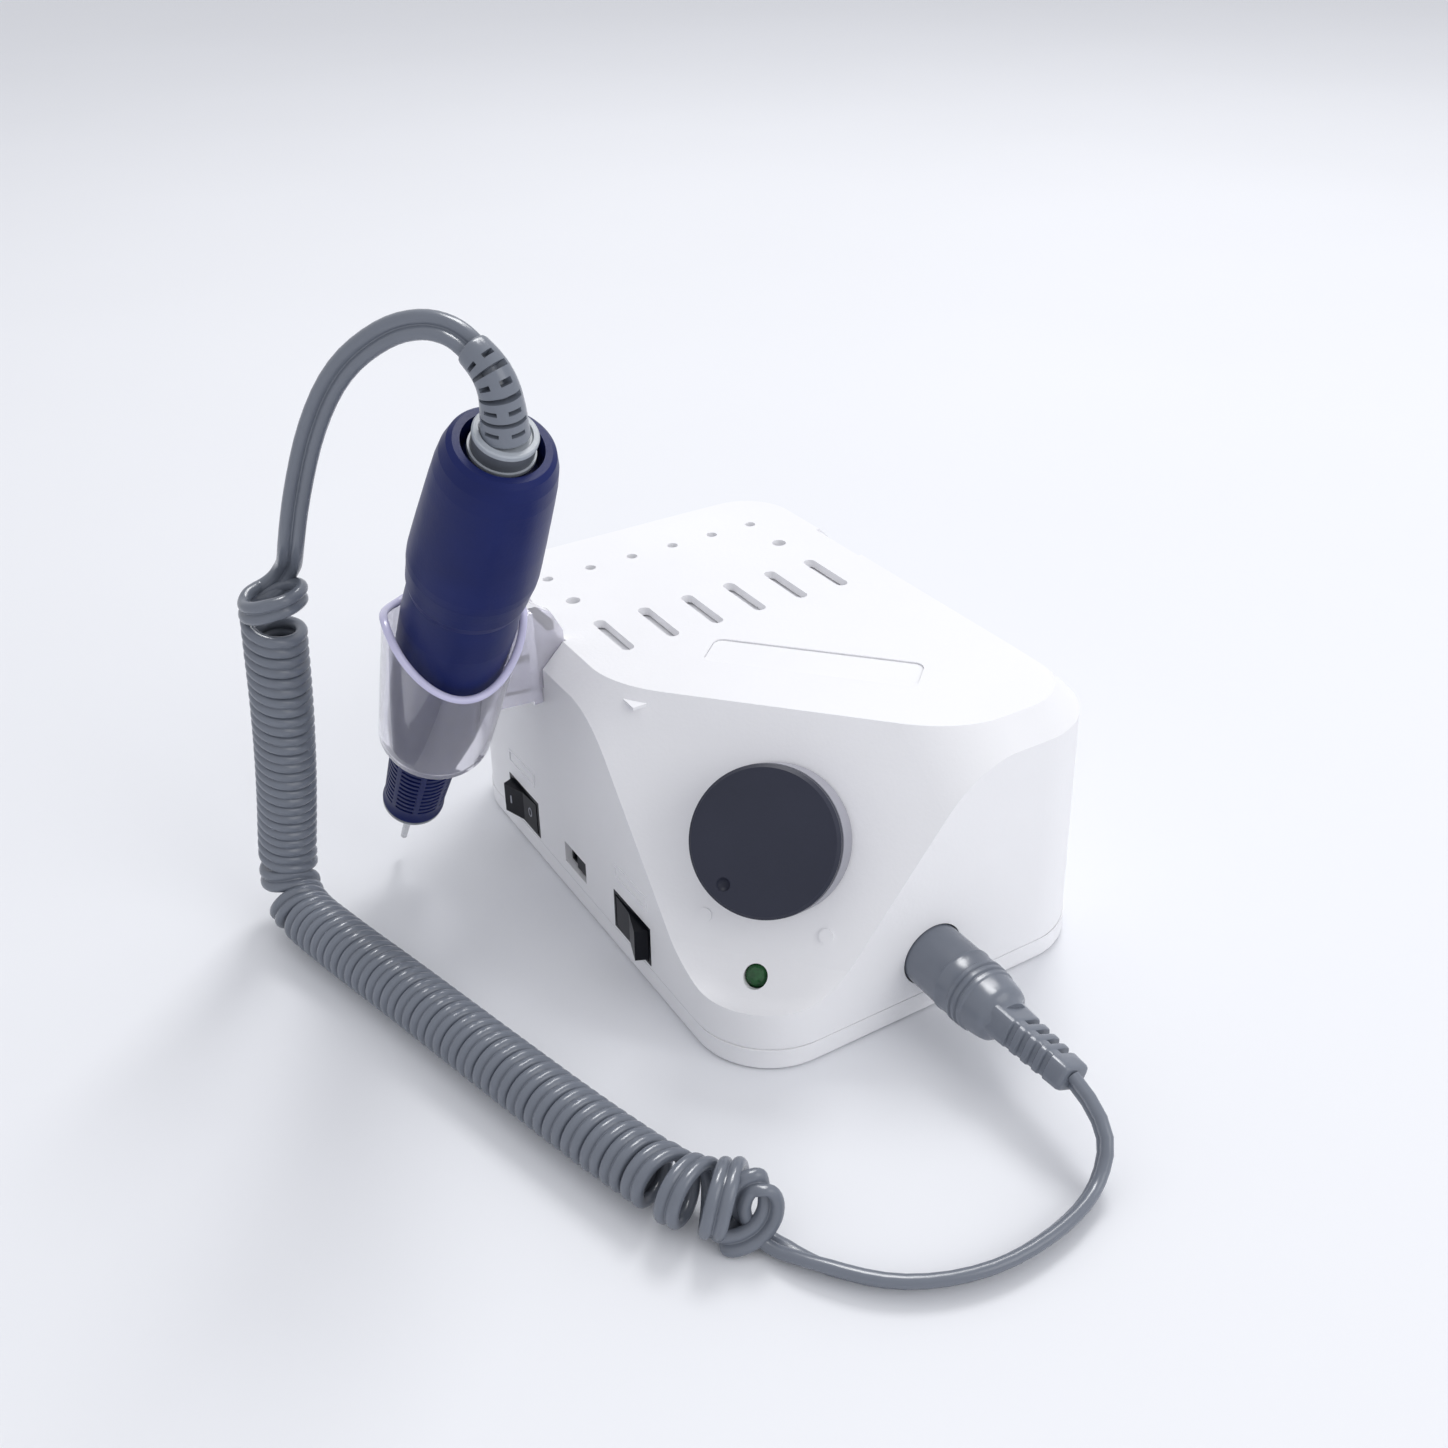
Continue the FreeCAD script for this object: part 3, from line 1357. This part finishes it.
spindle_bearings = [
    turned(
        f"spindle_bearing_{number}",
        [
            (spindle_bore, low),
            (quill_inside, low),
            (quill_inside, low + size.bearing_width),
            (spindle_bore, low + size.bearing_width),
        ],
    )
    for number, low in enumerate((size.spindle_start + 4, size.nose_start - 8, size.nose_end - 9))
]
spot(group("spindle_bearings", spindle_bearings), TOOL_AT, TOOL_TURN)

# Twist collar over the nose: turning it opens the collet
collar_bore = size.quill_radius + size.tool_fit
nose_top = size.nose_start + size.tool_fit
tool(
    "nose_collar",
    [
        (collar_bore, nose_top),
        (size.nose_top_radius, nose_top),
        (size.nose_top_radius - 0.45, size.nose_start + 11),
        (size.nose_end_radius + 0.3, size.nose_end - 1.8),
        (size.nose_end_radius + 0.6, size.nose_end - 0.6),
        (size.nose_end_radius + 0.3, size.nose_end),
        (collar_bore, size.nose_end),
    ],
)
tool(
    "nose_ring",
    [
        (size.spindle_radius + size.tool_fit, size.nose_end),
        (size.nose_ring_radius, size.nose_end),
        (size.nose_ring_radius, size.nose_end + size.nose_ring - 0.6),
        (size.nose_ring_radius - 0.7, size.nose_end + size.nose_ring),
        (size.spindle_radius + size.tool_fit, size.nose_end + size.nose_ring),
    ],
)

# The parts that spin: motor shaft, armature, commutator, coupling, spindle, collet and bit
def spinning_rod(name, radius, low, high, bore_radius=None):
    start = bore_radius if bore_radius else 0
    return tool(name, [(start, low), (radius, low), (radius, high), (start, high)])


coupling_low = size.motor_end + 2.6
shaft_end = coupling_low + 3.6
press = 0.02
spinning_rod("motor_shaft", size.motor_shaft_radius, size.motor_start - 1.2, shaft_end)
armature_bore = size.motor_shaft_radius + press
spinning_rod("armature", size.armature_radius, magnet_low + 2, magnet_high - 2, armature_bore)
spinning_rod("commutator", dim(3.0), brush_at - 1.6, brush_at + 4.4, armature_bore)
tool(
    "coupling",
    [
        (armature_bore, coupling_low),
        (4.4, coupling_low),
        (4.4, size.spindle_start),
        (0, size.spindle_start),
        (0, shaft_end),
        (armature_bore, shaft_end),
    ],
)
collet_radius = 2.3
collet_low = size.spindle_end - 20
tool(
    "spindle",
    [
        (0, size.spindle_start),
        (size.spindle_radius, size.spindle_start),
        (size.spindle_radius, size.spindle_end),
        (collet_radius + press, size.spindle_end),
        (collet_radius + press, collet_low),
        (0, collet_low),
    ],
)
collet_form = turned(
    "collet_form",
    [
        (size.mandrel_radius + press, collet_low),
        (collet_radius, collet_low),
        (collet_radius, size.spindle_end + 0.4),
        (3.3, size.spindle_end + 0.4),
        (2.7, size.spindle_end + 3.4),
        (size.mandrel_radius + press, size.spindle_end + 3.4),
    ],
)
slits = [
    block(f"collet_slit_{number}", 5, 0.5, 12, (0, -0.25, size.spindle_end - 6), (120 * number, 0, 0))
    for number in range(3)
]
spot(cut("collet", collet_form, slits), TOOL_AT, TOOL_TURN)
tool(
    "drill_bit",
    [
        (0, collet_low + 0.5),
        (size.mandrel_radius, collet_low + 0.5),
        (size.mandrel_radius, size.mandrel_tip - 9),
        (size.mandrel_radius - 0.15, size.mandrel_tip - 8.4),
        (size.mandrel_radius - 0.25, size.mandrel_tip - 0.5),
        (size.mandrel_radius - 0.7, size.mandrel_tip),
        (0, size.mandrel_tip),
    ],
)

# Cord routes, box coordinates: corner points of the straight runs that the bends are cut between
ARCH = [
    (-24.6, 47.6, 167.4),
    (-30.7, 57.3, 171.9),
    (-37.1, 67.5, 168.6),
    (-43.8, 78.0, 158.8),
    (-48.9, 86.1, 144.5),
    (-52.9, 92.4, 128.0),
    (-55.5, 96.6, 110.5),
    (-58.4, 101.3, 96.4),
]
UPRIGHT = [(-60.2, 104.8, 97.0), (-61.2, 109.6, 70.0), (-62.9, 116.0, 43.0), (-65.8, 122.0, 16.0)]
LYING = [
    (-67.6, 113.5, 7.6),
    (-62.0, 91.5, 7.6),
    (-56.0, 70.5, 7.6),
    (-50.3, 49.5, 7.6),
    (-44.3, 27.5, 7.6),
    (-37.3, 5.5, 7.6),
    (-29.6, -15.0, 7.6),
    (-18.5, -32.5, 7.6),
]
LOWER = [
    (54.0, -48.0, 17.0),
    (54.3, -59.6, 13.6),
    (48.5, -64.6, 2.75),
    (34.0, -69.0, 2.75),
    (15.5, -69.4, 2.75),
    (-1.5, -62.6, 2.75),
    (-13.0, -50.0, 2.75),
    (-18.4, -33.2, 2.75),
]


def route_wire(name, points):
    """Straight runs joined by arcs that touch both, as one wire."""
    spots = [FreeCAD.Vector(*point) for point in points]
    edges = []
    start = spots[0]
    tightest = FAR
    for before, corner, after in zip(spots, spots[1:], spots[2:]):
        into = (corner - before).normalize()
        away = (after - corner).normalize()
        shorter = min((corner - before).Length, (after - corner).Length)
        setback = 0.45 * shorter
        half_turn = into.getAngle(away) / 2
        radius = setback / math.tan(half_turn)
        tightest = min(tightest, radius)
        first = corner - into * setback
        last = corner + away * setback
        centre = corner + (away - into).normalize() * (radius / math.cos(half_turn))
        top = centre + (corner - centre).normalize() * radius
        edges.append(Part.LineSegment(start, first).toShape())
        edges.append(Part.Arc(first, top, last).toShape())
        start = last
    edges.append(Part.LineSegment(start, spots[-1]).toShape())
    wire = doc.addObject("Part::Feature", f"{name}_route")
    wire.Shape = Part.Wire(edges)
    print(f"{name}: tightest bend radius {tightest:.1f} mm, length {wire.Shape.Length:.1f} mm")
    return wire


def cord(name, points, radius):
    """A plain round tube of solid cord along its route."""
    wire = route_wire(name, points)
    section = tie(doc.addObject("Part::Circle", f"{name}_section"), Radius=radius)
    along = FreeCAD.Vector(*points[1]) - FreeCAD.Vector(*points[0])
    turn = FreeCAD.Rotation(FreeCAD.Vector(0, 0, 1), along)
    section.Placement = FreeCAD.Placement(FreeCAD.Vector(*points[0]), turn)
    sweep = doc.addObject("Part::Sweep", name)
    sweep.Sections = [section]
    sweep.Spine = (wire, [f"Edge{number}" for number in range(1, len(wire.Shape.Edges) + 1)])
    sweep.Solid = True
    sweep.Transition = "Right corner"
    return spot(sweep, (0, 0, 0))


cord("upper_cord", ARCH, size.cord_radius)
cord("upright_coil", UPRIGHT, size.coil_radius)
cord("lying_coil", LYING, size.coil_radius)
cord("lower_cord", LOWER, size.cord_radius)

# Boot on the handpiece's rear cap: it tapers as it bends over towards the cord
BOOT = [
    ((-22.2, 46.53, 149.63), (0.056, -0.502, 0.863), 1.0),
    ((-22.1, 44.3, 156.0), (0.0, -0.15, 0.99), 0.94),
    ((-22.9, 44.9, 162.0), (-0.18, 0.28, 0.94), 0.86),
    ((-24.6, 47.6, 167.4), (-0.4958, 0.7884, 0.3658), 0.75),
]
sections = []
for number, (centre, heading, share) in enumerate(BOOT):
    ring = tie(doc.addObject("Part::Circle", f"boot_ring_{number}"), Radius=size.boot_base_radius * share)
    turn = FreeCAD.Rotation(FreeCAD.Vector(0, 0, 1), FreeCAD.Vector(*heading))
    ring.Placement = FreeCAD.Placement(FreeCAD.Vector(*centre), turn)
    sections.append(ring)
loft = doc.addObject("Part::Loft", "cord_boot")
loft.Sections = sections
loft.Solid = True
spot(loft, (0, 0, 0))

doc.recompute()
faults = [thing.Name for thing in doc.Objects if "Invalid" in thing.State or "Error" in thing.State]
if faults:
    raise RuntimeError(f"objects that did not build: {faults}")
os.makedirs("parts", exist_ok=True)
for node in NODES:
    if node.Shape.isNull() or not node.Shape.isValid():
        raise RuntimeError(f"bad shape: {node.Name}")
    node.Shape.exportStep(f"parts/{node.Label}.step")
print(f"{len(NODES)} nodes")
